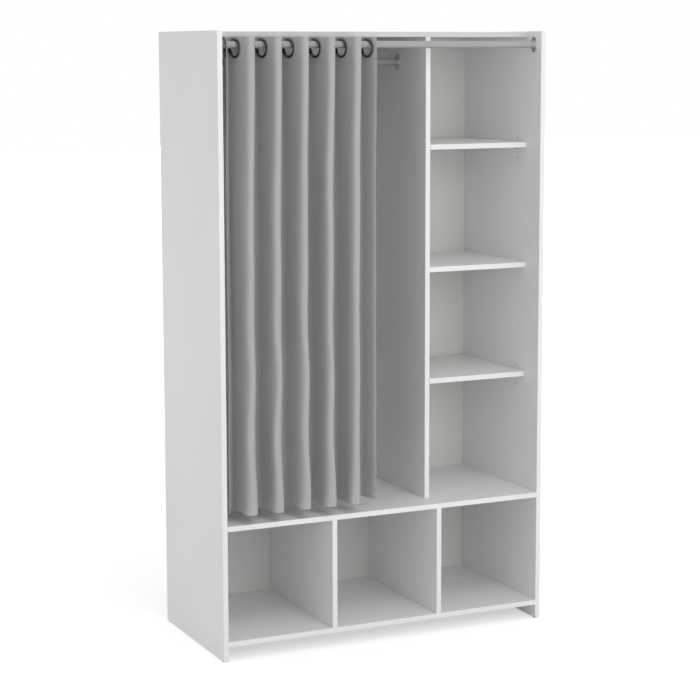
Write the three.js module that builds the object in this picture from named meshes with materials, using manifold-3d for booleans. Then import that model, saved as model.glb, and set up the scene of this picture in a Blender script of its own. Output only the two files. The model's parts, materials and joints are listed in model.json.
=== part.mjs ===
// Curtain wardrobe: a white board carcass with open cubbies, a column of shelves
// and a hanging space behind a gathered eyelet curtain.
// Millimetres, with X to the right, Y to the back and Z up.
// Places are given from the left side's front bottom corner, and the model is centred at the end.

import * as THREE from 'three';
import { mergeVertices } from 'three/addons/utils/BufferGeometryUtils.js';
import Module from 'manifold-3d';

const wasm = await Module();
wasm.setup();

// Carcass
const width = 1100;
const sideDepth = 497;
const sideHeight = 1884;
const board = 16;
const backBoard = 3;
const backInset = 1.5;
const backJointGap = 1;
const floorGap = 43;
const cubbyHeight = 340;
const cubbyCount = 3;
const setback = 85;
const topDrop = 2;

// Column shelves, with their top faces as shares of the column's clear height
const lowerShelfShare = 0.264;
const fixedShelfShare = 0.508;
const upperShelfShare = 0.772;
const shelfEndGap = 1;
const shelfBackGap = 2;

// Shelf pins and their rows of holes
const pinRadius = 2.5;
const pinInsert = 8;
const pinReach = 8;
const pinFit = 0.3;
const pinHoleDepth = 9;
const pinHolePitch = 32;
const pinFrontMargin = 57;
const pinBackMargin = 51;

// Screw caps over the fixed shelf's screws
const capRadius = 5;
const capThickness = 1.2;
const capMargin = 47;

// Nail glides
const glideRadius = 7;
const glideHeight = 3;
const glideRound = 1;
const glideMargin = 14;

// Rods and their wall sockets
const curtainRodRadius = 11;
const railRadius = 10;
const tubeWall = 1.2;
const rodEndGap = 0.3;
const rodDrop = 41;
const railDrop = 94.5;
const railDepthShare = 0.47;
const socketHeight = 50;
const socketWidth = 31;
const socketPlate = 3;
const socketCollarWall = 2.2;
const socketCollarLength = 7.5;
const socketFit = 0.3;
const socketScrewRadius = 2;
const socketScrewMargin = 5.5;

// Eyelets
const eyeletCount = 12;
const eyeletSlack = 10.5;
const eyeletBand = 8.5;
const eyeletWaist = 3;
const eyeletLip = 1.5;
const eyeletRound = 1.2;
const eyeletHang = 0.4;
const eyeletRoom = 15.5;

// Curtain cloth and its folds
const cloth = 1.6;
const clothFit = 0.3;
const clothMargin = 3;
const hemGap = 32.5;
const flankAngle = THREE.MathUtils.degToRad(75.4);
const backFoldRadius = 6;
const frontFoldRadius = 12;
const crestRoom = 9.5;
const frontReach = 72;
const foldClearance = 3;
const foldJointGap = 1.3;
const firstEdgeReach = 36;
const lastEdgeReach = 46;

// Facets of the round shapes, and how far a cutting tool runs past a face
const rodSides = 24;
const pinSides = 12;
const glideSides = 16;
const eyeletSides = 20;
const foldSteps = 6;
const overrun = 1;

// Heights and depths that follow from the sizes above
const bottomTop = floorGap + board;
const middleBottom = bottomTop + cubbyHeight;
const middleTop = middleBottom + board;
const topTop = sideHeight - topDrop;
const topBottom = topTop - board;
const innerRight = width - board;
const cubbyWidth = (innerRight - board - (cubbyCount - 1) * board) / cubbyCount;
const dividerLeft = board + (cubbyCount - 1) * (cubbyWidth + board) - board;
const dividerRight = dividerLeft + board;
const columnHeight = topBottom - middleTop;
const eyeletBore = curtainRodRadius + eyeletSlack;
const eyeletRadius = eyeletBore + eyeletBand;
const backReach = eyeletRadius + crestRoom;
const rodY = setback - foldClearance - backReach;
const rodZ = sideHeight - rodDrop;
const eyeletZ = rodZ + curtainRodRadius + eyeletHang - eyeletBore;

function material(colour, roughness, metalness) {
  return new THREE.MeshStandardMaterial({ color: colour, roughness, metalness });
}

const model = new THREE.Group();

function addMesh(name, geometry, finish) {
  const mesh = new THREE.Mesh(geometry, finish);
  mesh.name = name;
  model.add(mesh);
  return mesh;
}

// A board is given by its two opposite corners, so that boards that meet share the same face.
function boardGeometry(low, high) {
  const geometry = new THREE.BoxGeometry();
  const corners = geometry.attributes.position;
  for (let i = 0; i < corners.count; i += 1) {
    const x = corners.getX(i) < 0 ? low[0] : high[0];
    const y = corners.getY(i) < 0 ? low[1] : high[1];
    const z = corners.getZ(i) < 0 ? low[2] : high[2];
    corners.setXYZ(i, x, y, z);
  }
  return geometry;
}

function solidFrom(geometry) {
  const bare = geometry.clone();
  bare.deleteAttribute('normal');
  bare.deleteAttribute('uv');
  const joined = mergeVertices(bare);
  const vertProperties = new Float32Array(joined.attributes.position.array);
  const triVerts = new Uint32Array(joined.index.array);
  return new wasm.Manifold(new wasm.Mesh({ numProp: 3, vertProperties, triVerts }));
}

function geometryFrom(solid) {
  const mesh = solid.getMesh();
  const geometry = new THREE.BufferGeometry();
  geometry.setAttribute('position', new THREE.BufferAttribute(mesh.vertProperties, 3));
  geometry.setIndex(new THREE.BufferAttribute(mesh.triVerts, 1));
  geometry.computeVertexNormals();
  return geometry;
}

function cut(geometry, tools) {
  let solid = solidFrom(geometry);
  for (const tool of tools) {
    solid = solid.subtract(solidFrom(tool));
  }
  return geometryFrom(solid);
}

// A round bar that lies along X and starts at the given point.
function barAlongX(radius, length, sides, start) {
  const geometry = new THREE.CylinderGeometry(radius, radius, length, sides);
  geometry.rotateZ(Math.PI / 2);
  geometry.translate(start[0] + length / 2, start[1], start[2]);
  return geometry;
}

// Shelf heights
function columnShelfTop(share) {
  return middleTop + share * columnHeight;
}

const looseShelfTops = [columnShelfTop(lowerShelfShare), columnShelfTop(upperShelfShare)];
const fixedShelfTop = columnShelfTop(fixedShelfShare);
const pinRows = [setback + pinFrontMargin, sideDepth - pinBackMargin];

function pinHeight(shelfTop) {
  return shelfTop - board - pinFit - pinRadius;
}

// Blind holes for the shelf pins: each pin has a spare hole above and below its own.
function pinHoles(startX) {
  const tools = [];
  for (const shelfTop of looseShelfTops) {
    for (const rowY of pinRows) {
      for (const place of [-1, 0, 1]) {
        const holeZ = pinHeight(shelfTop) + place * pinHolePitch;
        const start = [startX, rowY, holeZ];
        tools.push(barAlongX(pinRadius + pinFit, pinHoleDepth + overrun, pinSides, start));
      }
    }
  }
  return tools;
}

// Sides, partitions and shelves
function addCarcass() {
  const leftSide = boardGeometry([0, 0, 0], [board, sideDepth, sideHeight]);
  addMesh('left_side', leftSide, material(0xe9e9ea, 0.45, 0));

  const rightSide = boardGeometry([innerRight, 0, 0], [width, sideDepth, sideHeight]);
  const rightHoles = pinHoles(innerRight - overrun);
  addMesh('right_side', cut(rightSide, rightHoles), material(0xe9e9ea, 0.45, 0));

  const topLow = [board, setback, topBottom];
  const topHigh = [innerRight, sideDepth, topTop];
  addMesh('top_panel', boardGeometry(topLow, topHigh), material(0xeaeaea, 0.45, 0));

  const middleLow = [board, 0, middleBottom];
  const middleHigh = [innerRight, sideDepth, middleTop];
  addMesh('middle_shelf', boardGeometry(middleLow, middleHigh), material(0xebebea, 0.45, 0));

  const bottomLow = [board, 0, floorGap];
  const bottomHigh = [innerRight, sideDepth, bottomTop];
  addMesh('bottom_panel', boardGeometry(bottomLow, bottomHigh), material(0xebebea, 0.45, 0));

  const dividerLow = [dividerLeft, setback, middleTop];
  const dividerHigh = [dividerRight, sideDepth, topBottom];
  const dividerHoles = pinHoles(dividerRight - pinHoleDepth);
  const divider = cut(boardGeometry(dividerLow, dividerHigh), dividerHoles);
  addMesh('centre_divider', divider, material(0xe8e8e8, 0.45, 0));
}

function addPartitions() {
  for (let i = 1; i < cubbyCount; i += 1) {
    const left = i * (cubbyWidth + board);
    const low = [left, 0, bottomTop];
    const high = [left + board, sideDepth, middleBottom];
    addMesh(`cubby_partition_${i}`, boardGeometry(low, high), material(0xeaeaea, 0.45, 0));
  }
}

function addColumnShelves() {
  const fixedLow = [dividerRight, setback, fixedShelfTop - board];
  const fixedHigh = [innerRight, sideDepth, fixedShelfTop];
  addMesh('fixed_shelf', boardGeometry(fixedLow, fixedHigh), material(0xebebeb, 0.45, 0));

  const names = ['lower_loose_shelf', 'upper_loose_shelf'];
  names.forEach((name, i) => {
    const low = [dividerRight + shelfEndGap, setback, looseShelfTops[i] - board];
    const high = [innerRight - shelfEndGap, sideDepth - shelfBackGap, looseShelfTops[i]];
    addMesh(name, boardGeometry(low, high), material(0xebebeb, 0.45, 0));
  });
}

// Three thin backs are nailed to the rear edges and meet behind the divider and the middle shelf.
function addBacks() {
  const rear = sideDepth + backBoard;
  const seamX = (dividerLeft + dividerRight) / 2;
  const seamZ = (middleBottom + middleTop) / 2;
  const halfGap = backJointGap / 2;
  const left = backInset;
  const right = width - backInset;
  const backs = {
    back_upper_left: [[left, seamZ + halfGap], [seamX - halfGap, topTop]],
    back_upper_right: [[seamX + halfGap, seamZ + halfGap], [right, topTop]],
    back_lower: [[left, floorGap], [right, seamZ - halfGap]],
  };
  for (const [name, [low, high]] of Object.entries(backs)) {
    const geometry = boardGeometry([low[0], sideDepth, low[1]], [high[0], rear, high[1]]);
    addMesh(name, geometry, material(0xdcdad6, 0.6, 0));
  }
}

function addShelfPins() {
  let count = 0;
  for (const shelfTop of looseShelfTops) {
    for (const rowY of pinRows) {
      for (const startX of [dividerRight - pinInsert, innerRight - pinReach]) {
        count += 1;
        const start = [startX, rowY, pinHeight(shelfTop)];
        const geometry = barAlongX(pinRadius, pinInsert + pinReach, pinSides, start);
        addMesh(`shelf_pin_${count}`, geometry, material(0x5d5d60, 0.35, 1));
      }
    }
  }
}

function addScrewCaps() {
  const rows = [setback + capMargin, sideDepth - capMargin];
  rows.forEach((rowY, i) => {
    const start = [dividerLeft - capThickness, rowY, fixedShelfTop - board / 2];
    const geometry = barAlongX(capRadius, capThickness, glideSides, start);
    addMesh(`screw_cap_${i + 1}`, geometry, material(0xf0f0f0, 0.4, 0));
  });
}

function addGlides() {
  const outline = [
    new THREE.Vector2(0, -glideHeight),
    new THREE.Vector2(glideRadius - glideRound, -glideHeight),
    new THREE.Vector2(glideRadius, glideRound - glideHeight),
    new THREE.Vector2(glideRadius, 0),
    new THREE.Vector2(0, 0),
  ];
  let count = 0;
  for (const x of [board / 2, width - board / 2]) {
    for (const y of [glideMargin, sideDepth - glideMargin]) {
      count += 1;
      const geometry = new THREE.LatheGeometry(outline, glideSides);
      geometry.rotateX(Math.PI / 2);
      const glide = addMesh(`nail_glide_${count}`, geometry, material(0x3a3a3a, 0.5, 0));
      glide.position.set(x, y, 0);
    }
  }
}

// Rods
function circlePath(radius, kind) {
  const path = new kind();
  path.absarc(0, 0, radius, 0, 2 * Math.PI, false);
  return path;
}

// A round-ended plate with two screw holes and a collar that holds the rod's end.
function socketGeometry(rodRadius) {
  const half = socketWidth / 2;
  const straight = socketHeight / 2 - half;
  const plate = new THREE.Shape();
  plate.absarc(straight, 0, half, -Math.PI / 2, Math.PI / 2, false);
  plate.absarc(-straight, 0, half, Math.PI / 2, 3 * Math.PI / 2, false);
  for (const end of [-1, 1]) {
    const hole = new THREE.Path();
    const centre = end * (socketHeight / 2 - socketScrewMargin);
    hole.absarc(centre, 0, socketScrewRadius, 0, 2 * Math.PI, false);
    plate.holes.push(hole);
  }
  const plateSettings = { depth: socketPlate, bevelEnabled: false, curveSegments: pinSides / 2 };
  const flange = new THREE.ExtrudeGeometry(plate, plateSettings);

  const collar = circlePath(rodRadius + socketFit + socketCollarWall, THREE.Shape);
  collar.holes.push(circlePath(rodRadius + socketFit, THREE.Path));
  const collarDepth = socketCollarLength + socketPlate / 2;
  const collarSettings = { depth: collarDepth, bevelEnabled: false, curveSegments: rodSides / 2 };
  const sleeve = new THREE.ExtrudeGeometry(collar, collarSettings);
  sleeve.translate(0, 0, socketPlate / 2);
  return geometryFrom(solidFrom(flange).add(solidFrom(sleeve)));
}

function tubeGeometry(radius, length) {
  const section = circlePath(radius, THREE.Shape);
  section.holes.push(circlePath(radius - tubeWall, THREE.Path));
  const settings = { depth: length, bevelEnabled: false, curveSegments: rodSides / 2 };
  return new THREE.ExtrudeGeometry(section, settings);
}

// A rod with a socket on each of the two upright faces that it runs between.
function addRod(name, radius, leftX, rightX, y, z) {
  const chrome = material(0xb9b9bb, 0.25, 1);
  const steel = material(0xa9a9ab, 0.35, 0.6);
  const startX = leftX + socketPlate + rodEndGap;
  const length = rightX - leftX - 2 * (socketPlate + rodEndGap);
  const rod = addMesh(name, tubeGeometry(radius, length), steel);
  rod.rotation.y = Math.PI / 2;
  rod.position.set(startX, y, z);

  const leftSocket = addMesh(`${name}_socket_left`, socketGeometry(radius), chrome);
  leftSocket.geometry.rotateY(Math.PI / 2);
  leftSocket.position.set(leftX, y, z);
  const rightSocket = addMesh(`${name}_socket_right`, socketGeometry(radius), chrome);
  rightSocket.geometry.rotateY(-Math.PI / 2);
  rightSocket.position.set(rightX, y, z);
}

// Curtain folds
// Each fold runs from a back crest to a front crest, seen from above, with the eyelet's centre
// at the origin. Odd folds are the mirror image of even ones.
const arcLoss = 1 - Math.cos(flankAngle);
const backFlankDrop = backReach - backFoldRadius * arcLoss;
const frontFlankDrop = frontReach - frontFoldRadius * arcLoss;
const backCrestX = backFlankDrop / Math.tan(flankAngle) + backFoldRadius * Math.sin(flankAngle);
const frontCrestX = frontFlankDrop / Math.tan(flankAngle) + frontFoldRadius * Math.sin(flankAngle);

function foldShape(mirrored, freeEdge) {
  const half = cloth / 2;
  const turned = Math.PI / 2 - flankAngle;
  const outline = new THREE.Path();
  const backStart = Math.PI / 2 - foldJointGap / 2 / backFoldRadius;
  const backX = -backCrestX;
  const backY = backReach - backFoldRadius;
  outline.absarc(backX, backY, backFoldRadius + half, backStart, turned, true);
  if (freeEdge > 0) {
    const edgeX = freeEdge * Math.cos(flankAngle);
    const edgeY = -freeEdge * Math.sin(flankAngle);
    const sideX = half * Math.sin(flankAngle);
    const sideY = half * Math.cos(flankAngle);
    outline.lineTo(edgeX + sideX, edgeY + sideY);
    outline.lineTo(edgeX - sideX, edgeY - sideY);
  } else {
    const frontX = frontCrestX;
    const frontY = frontFoldRadius - frontReach;
    const frontStart = Math.PI + turned;
    const frontEnd = 3 * Math.PI / 2 - foldJointGap / 2 / frontFoldRadius;
    outline.absarc(frontX, frontY, frontFoldRadius - half, frontStart, frontEnd, false);
    outline.absarc(frontX, frontY, frontFoldRadius + half, frontEnd, frontStart, true);
  }
  outline.absarc(backX, backY, backFoldRadius - half, turned, backStart, false);
  const side = mirrored ? -1 : 1;
  const points = outline.getPoints(foldSteps).map((p) => new THREE.Vector2(side * p.x, p.y));
  return new THREE.Shape(points);
}

const curtainTop = eyeletRadius + clothMargin;
const curtainBottom = middleTop + hemGap - eyeletZ;
const eyeletHole = eyeletBore + eyeletWaist + clothFit;

function foldTurn(mirrored) {
  return mirrored ? Math.PI / 2 + flankAngle : Math.PI / 2 - flankAngle;
}

function foldGeometry(mirrored, freeEdge) {
  const settings = { depth: curtainTop - curtainBottom, bevelEnabled: false };
  const panel = new THREE.ExtrudeGeometry(foldShape(mirrored, freeEdge), settings);
  panel.translate(0, 0, curtainBottom);
  const punch = new THREE.CylinderGeometry(eyeletHole, eyeletHole, 2 * (cloth + overrun), eyeletSides);
  punch.rotateZ(-Math.PI / 2);
  punch.rotateZ(foldTurn(mirrored));
  return cut(panel, [punch]);
}

// A grommet of two lips round a waist, with the cloth's edge held between the lips.
function eyeletGeometry(mirrored) {
  const groove = cloth / 2 + clothFit;
  const half = groove + eyeletLip;
  const waist = eyeletBore + eyeletWaist;
  const outline = [
    [eyeletBore, 0],
    [eyeletBore + eyeletRound, half],
    [eyeletRadius - eyeletRound, half],
    [eyeletRadius, groove],
    [waist, groove],
    [waist, -groove],
    [eyeletRadius, -groove],
    [eyeletRadius - eyeletRound, -half],
    [eyeletBore + eyeletRound, -half],
    [eyeletBore, 0],
  ];
  const points = outline.map(([r, h]) => new THREE.Vector2(r, h)).reverse();
  const geometry = new THREE.LatheGeometry(points, eyeletSides);
  geometry.rotateZ(-Math.PI / 2);
  geometry.rotateZ(foldTurn(mirrored));
  return geometry;
}

function addCurtain() {
  const firstX = board + socketPlate + socketCollarLength + eyeletRoom;
  let x = firstX;
  for (let i = 1; i <= eyeletCount; i += 1) {
    const mirrored = i % 2 === 1;
    let freeEdge = 0;
    if (i === 1) {
      freeEdge = firstEdgeReach;
    } else if (i === eyeletCount) {
      freeEdge = lastEdgeReach;
    }
    const fold = addMesh(`curtain_fold_${i}`, foldGeometry(mirrored, freeEdge), material(0x8f9094, 0.9, 0));
    fold.position.set(x, rodY, eyeletZ);
    const eyelet = addMesh(`eyelet_${i}`, eyeletGeometry(mirrored), material(0x55565a, 0.2, 1));
    eyelet.position.set(x, rodY, eyeletZ);
    x += mirrored ? 2 * backCrestX : 2 * frontCrestX;
  }
}

addCarcass();
addPartitions();
addColumnShelves();
addBacks();
addShelfPins();
addScrewCaps();
addGlides();
addRod('curtain_rod', curtainRodRadius, board, innerRight, rodY, rodZ);
const railY = setback + railDepthShare * (sideDepth - setback);
addRod('hanging_rail', railRadius, board, dividerLeft, railY, sideHeight - railDrop);
addCurtain();

// The origin is at the middle of the floor area that the whole wardrobe takes up.
const frontFace = rodY - frontReach - cloth / 2;
const rearFace = sideDepth + backBoard;
model.position.set(-width / 2, -(frontFace + rearFace) / 2, glideHeight);

export default model;
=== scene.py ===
import json
import math
import random

import bmesh
import bpy
from mathutils import Matrix, Vector


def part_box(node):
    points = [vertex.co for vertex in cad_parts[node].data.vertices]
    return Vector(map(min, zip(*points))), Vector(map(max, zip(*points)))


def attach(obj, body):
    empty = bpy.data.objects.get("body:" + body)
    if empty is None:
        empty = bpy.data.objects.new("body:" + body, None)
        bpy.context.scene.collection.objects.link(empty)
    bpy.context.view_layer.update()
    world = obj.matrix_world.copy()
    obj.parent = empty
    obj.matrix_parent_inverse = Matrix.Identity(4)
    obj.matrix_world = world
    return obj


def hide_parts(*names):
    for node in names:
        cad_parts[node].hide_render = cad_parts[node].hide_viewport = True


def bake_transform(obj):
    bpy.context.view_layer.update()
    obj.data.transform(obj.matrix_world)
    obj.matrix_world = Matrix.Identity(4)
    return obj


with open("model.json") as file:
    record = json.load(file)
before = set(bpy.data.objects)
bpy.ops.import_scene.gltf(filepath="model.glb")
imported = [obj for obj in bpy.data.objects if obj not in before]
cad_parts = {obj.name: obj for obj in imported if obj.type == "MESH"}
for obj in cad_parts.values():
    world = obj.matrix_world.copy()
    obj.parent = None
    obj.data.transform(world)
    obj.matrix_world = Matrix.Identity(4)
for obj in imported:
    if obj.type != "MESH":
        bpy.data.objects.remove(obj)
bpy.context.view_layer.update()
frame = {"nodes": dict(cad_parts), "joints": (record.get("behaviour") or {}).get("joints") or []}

# View
# The wardrobe is seen from its front left, with the eye a little below the top panel, so that
# the left side's outer face, the cubbies' floors and the inside of the shelf column show.
eye = Vector((-2.63974, -5.56434, 1.83062))
eye_turn = 0.4404
eye_pitch = -0.1370
eye_roll = -0.0021
picture_size = 700
focal_length = 1960.59
middle_row = 320
film_width = 36

camera = bpy.data.cameras.new("camera")
camera.sensor_width = film_width
camera.lens = film_width * focal_length / picture_size
camera.shift_y = (middle_row - picture_size / 2) / picture_size
camera_object = bpy.data.objects.new("camera", camera)
heading = Matrix.Rotation(-eye_turn, 4, "Z")
tilt = Matrix.Rotation(math.pi / 2 + eye_pitch, 4, "X")
camera_object.matrix_world = Matrix.Translation(eye) @ heading @ tilt @ Matrix.Rotation(eye_roll, 4, "Z")
bpy.context.collection.objects.link(camera_object)
bpy.context.scene.camera = camera_object
bpy.context.scene.view_settings.view_transform = "Standard"


# Studio
# A pale floor without an edge in sight, under a white sky that does most of the lighting. A
# large soft lamp in front and a weaker one behind keep the boards' sides from looking flat, and
# a small one high up in front puts a glint on the metal.
class Wire:
    """A value inside a finish. Sums of wires and numbers become the steps that work them out."""

    def __init__(self, finish, socket):
        self.finish = finish
        self.socket = socket

    def reckon(self, operation, first, second=0.0):
        return self.finish.add("ShaderNodeMath", {"operation": operation}, {0: first, 1: second})

    def __add__(self, other):
        return self.reckon("ADD", self, other)

    def __radd__(self, other):
        return self.reckon("ADD", other, self)

    def __sub__(self, other):
        return self.reckon("SUBTRACT", self, other)

    def __rsub__(self, other):
        return self.reckon("SUBTRACT", other, self)

    def __mul__(self, other):
        return self.reckon("MULTIPLY", self, other)

    def __rmul__(self, other):
        return self.reckon("MULTIPLY", other, self)

    def __truediv__(self, other):
        return self.reckon("DIVIDE", self, other)

    def __rtruediv__(self, other):
        return self.reckon("DIVIDE", other, self)

    def wave(self):
        return self.reckon("SINE", self)

    def size(self):
        return self.reckon("ABSOLUTE", self)

    def larger(self, other):
        return self.reckon("MAXIMUM", self, other)

    def smaller(self, other):
        return self.reckon("MINIMUM", self, other)

    def within(self, pitch):
        """How far the value is past the last whole pitch."""
        return self.reckon("FLOORED_MODULO", self, pitch)

    def step(self, start, end):
        """0 before start and 1 after end, with a soft step between."""
        settings = {"interpolation_type": "SMOOTHSTEP"}
        return self.finish.add("ShaderNodeMapRange", settings, {0: self, 1: start, 2: end})

    def between(self, ends):
        """The value, from 0 to 1, drawn out to run from the first end to the second."""
        first, second = ends
        return first + self * (second - first)


class Finish:
    """A material that is built from the nodes of its pattern."""

    def __init__(self, name):
        self.material = bpy.data.materials.new(name)
        self.material.use_nodes = True
        self.tree = self.material.node_tree
        self.tree.nodes.clear()

    def add(self, kind, settings=None, values=None, output=0):
        """A node with its settings, then the numbers or wires on its sockets."""
        node = self.tree.nodes.new(kind)
        for name, value in (settings or {}).items():
            setattr(node, name, value)
        for name, value in (values or {}).items():
            if isinstance(value, Wire):
                self.tree.links.new(value.socket, node.inputs[name])
            else:
                node.inputs[name].default_value = value
        return Wire(self, node.outputs[output])

    def close(self, shader, kind="ShaderNodeOutputMaterial"):
        """Ends the finish with what its surface, or the sky, does with light."""
        end = self.tree.nodes.new(kind)
        self.tree.links.new(shader.socket, end.inputs["Surface"])

    def mix(self, first, second, share):
        """A colour between two colours."""
        settings = {"data_type": "RGBA"}
        return self.add("ShaderNodeMix", settings, {0: share, 6: first, 7: second}, output=2)

    def place(self):
        """The point on the piece, in metres from the wardrobe's origin."""
        return self.add("ShaderNodeTexCoord", output="Object")

    def cloth_place(self):
        """The point on the piece's own flat pattern, in metres."""
        return self.add("ShaderNodeTexCoord", output="UV")

    def parts(self, vector):
        """The three numbers of a vector."""
        node = self.add("ShaderNodeSeparateXYZ", None, {0: vector}).socket.node
        return [Wire(self, socket) for socket in node.outputs]

    def length(self, vector):
        return self.add("ShaderNodeVectorMath", {"operation": "LENGTH"}, {0: vector}, output="Value")

    def noise(self, vector, scale, detail=2.0, roughness=0.5):
        """A random pattern from 0 to 1, with about as many patches to a metre as scale."""
        values = {"Vector": vector, "Scale": scale, "Detail": detail, "Roughness": roughness}
        return self.add("ShaderNodeTexNoise", None, values)

    def streaks(self, vector, scales, detail):
        """A random pattern that is drawn out, with a scale of its own along each axis."""
        drawn_out = self.add("ShaderNodeMapping", None, {"Vector": vector, "Scale": scales})
        return self.noise(drawn_out, 1.0, detail)

    def bump(self, height, depth):
        """Relief from a height of 0 to 1, depth metres deep."""
        return self.add("ShaderNodeBump", None, {"Height": height, "Distance": depth, "Strength": 1.0})

    def surface(self, **values):
        """Closes the finish with one surface, whose sockets are named with underscores."""
        named = {name.replace("_", " "): value for name, value in values.items()}
        self.close(self.add("ShaderNodeBsdfPrincipled", None, named))
        return self.material

    def worked_surface(self, colour, pattern, depth, roughness, metallic=0.0):
        """Closes the finish with a surface whose relief and roughness follow a pattern."""
        relief = self.bump(pattern, depth)
        roughness = pattern.between(roughness)
        return self.surface(Base_Color=colour, Metallic=metallic, Roughness=roughness, Normal=relief)


class Sky(Finish):
    """The light from all round."""

    def __init__(self, world):
        self.tree = world.node_tree
        self.tree.nodes.clear()


def seen(finish):
    """1 where a ray comes from the eye, or from the eye by way of metal or glass."""
    rays = finish.add("ShaderNodeLightPath").socket.node
    camera_ray = Wire(finish, rays.outputs["Is Camera Ray"])
    glossy_ray = Wire(finish, rays.outputs["Is Glossy Ray"])
    through_ray = Wire(finish, rays.outputs["Is Transmission Ray"])
    return camera_ray.larger(glossy_ray).larger(through_ray)


sky_light = 0.715
sky_white = (1.0, 1.0, 1.0, 1.0)
bpy.context.scene.world = bpy.context.scene.world or bpy.data.worlds.new("sky")
bpy.context.scene.world.use_nodes = True
sky = Sky(bpy.context.scene.world)
sky_strength = sky_light + seen(sky) * (1.0 - sky_light)
sky_values = {"Color": sky_white, "Strength": sky_strength}
sky.close(sky.add("ShaderNodeBackground", None, sky_values), "ShaderNodeOutputWorld")


def start_piece(name, primitive, **sizes):
    """A new primitive under its name, with nothing else selected."""
    bpy.ops.object.select_all(action="DESELECT")
    primitive(**sizes)
    piece = bpy.context.object
    piece.name = name
    piece.data.name = name
    return piece


floor_size = 60.0
floor_colour = (0.80, 0.80, 0.80, 1.0)
floor_lift = 0.46
far_lift = 1.0
lift_growth = (1.0, 6.0)
floor_finish = Finish("studio_floor")
floor_paint = floor_finish.add("ShaderNodeBsdfDiffuse", None, {"Color": floor_colour})
away = floor_finish.length(floor_finish.place())
lift = floor_lift + away.step(*lift_growth) * (far_lift - floor_lift)
lift_values = {"Color": sky_white, "Strength": seen(floor_finish) * lift}
floor_glow = floor_finish.add("ShaderNodeEmission", None, lift_values)
floor_finish.close(floor_finish.add("ShaderNodeAddShader", None, {0: floor_paint, 1: floor_glow}))
floor = start_piece("studio_floor", bpy.ops.mesh.primitive_plane_add, size=floor_size)
floor.data.materials.append(floor_finish.material)


def add_lamp(name, place, size, power):
    """A square soft lamp that shines on the middle of the wardrobe."""
    light = bpy.data.lights.new(name, "AREA")
    light.shape = "SQUARE"
    light.size = size
    light.energy = power
    lamp = bpy.data.objects.new(name, light)
    lamp.location = place
    lamp.rotation_euler = (lamp_target - lamp.location).to_track_quat("-Z", "Y").to_euler()
    bpy.context.collection.objects.link(lamp)


lamp_target = Vector((0.0, 0.0, 1.0))
add_lamp("front_lamp", place=(0.4, -5.2, 2.3), size=3.2, power=64)
add_lamp("rear_lamp", place=(2.8, 4.6, 3.2), size=3.0, power=30)
add_lamp("high_lamp", place=(0.25, -2.7, 4.3), size=0.8, power=13)


# Boards
# Sixteen millimetre particle board, faced on both sides with white melamine that is very
# slightly pebbled. A white plastic band is glued to every edge and trimmed a little round. The
# top panel's band is painted greyer than the others, as painted shade.
white_face = (0.863, 0.859, 0.853, 1.0)
white_shade = (0.849, 0.845, 0.839, 1.0)
pebble_scale = 620.0
pebble_depth = 0.00002
cloud_scale = 3.5
cloud_detail = 4.0
cloud_edges = (0.35, 0.70)
face_roughness = (0.40, 0.50)


def melamine():
    finish = Finish("white_melamine")
    place = finish.place()
    pebbles = finish.noise(place, pebble_scale)
    clouds = finish.noise(place, cloud_scale, cloud_detail)
    colour = finish.mix(white_face, white_shade, clouds.step(*cloud_edges))
    roughness = ((clouds + pebbles) / 2).between(face_roughness)
    relief = finish.bump(pebbles, pebble_depth)
    return finish.surface(Base_Color=colour, Roughness=roughness, Normal=relief)


band_face = (0.87, 0.87, 0.862, 1.0)
band_shade = (0.845, 0.845, 0.837, 1.0)
# The top panel's band colours: greyer than the other bands, as painted shade.
painted_shade_band_face = (0.69, 0.69, 0.683, 1.0)
painted_shade_band_dark = (0.665, 0.665, 0.658, 1.0)
band_scale = 240.0
band_depth = 0.000015
band_roughness = (0.34, 0.44)
grain_detail = 3.0


def edge_band(name, face, shade):
    finish = Finish(name)
    place = finish.place()
    grain = finish.noise(place, band_scale, grain_detail)
    clouds = finish.noise(place, cloud_scale)
    colour = finish.mix(face, shade, clouds.step(*cloud_edges))
    return finish.worked_surface(colour, grain, band_depth, band_roughness)


chip_light = (0.60, 0.53, 0.43, 1.0)
chip_dark = (0.40, 0.34, 0.26, 1.0)
chip_scale = 700.0
chip_depth = 0.0003
chip_edges = (0.35, 0.65)
chip_roughness = 0.9


def raw_chipboard():
    finish = Finish("raw_chipboard")
    chips = finish.noise(finish.place(), chip_scale, grain_detail)
    colour = finish.mix(chip_light, chip_dark, chips.step(*chip_edges))
    relief = finish.bump(chips, chip_depth)
    return finish.surface(Base_Color=colour, Roughness=chip_roughness, Normal=relief)


board_finishes = [melamine(), edge_band("white_edge_band", band_face, band_shade), raw_chipboard()]
face_index, band_index, raw_index = range(len(board_finishes))
# The band for the top panel, greyer as painted shade.
painted_shade_band = edge_band("edge_band_painted_shade", painted_shade_band_face, painted_shade_band_dark)
edge_round = 0.0007
edge_steps = 3
band_width = 0.0003
flat_angle = math.radians(35)
square_share = 0.999


def select_only(pieces):
    """Selects these pieces and nothing else, with the first one active."""
    bpy.ops.object.select_all(action="DESELECT")
    for piece in pieces:
        piece.select_set(True)
    bpy.context.view_layer.objects.active = pieces[0]


def edit(piece, mode="FACE"):
    select_only([piece])
    bpy.ops.object.mode_set(mode="EDIT")
    bpy.ops.mesh.select_mode(type=mode)


def leave():
    bpy.ops.object.mode_set(mode="OBJECT")


def pick_faces(piece, wanted):
    """Selects the faces for which wanted is true, by their place and normal."""
    bpy.ops.mesh.select_all(action="DESELECT")
    sheet = bmesh.from_edit_mesh(piece.data)
    for face in sheet.faces:
        if wanted(face):
            face.select_set(True)
    bmesh.update_edit_mesh(piece.data)


def round_faces(piece, wanted, radius, steps):
    """Rounds off the edges of the faces for which wanted is true."""
    edit(piece)
    pick_faces(piece, wanted)
    bpy.ops.mesh.bevel(offset=radius, segments=steps, affect="EDGES")
    leave()


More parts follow.
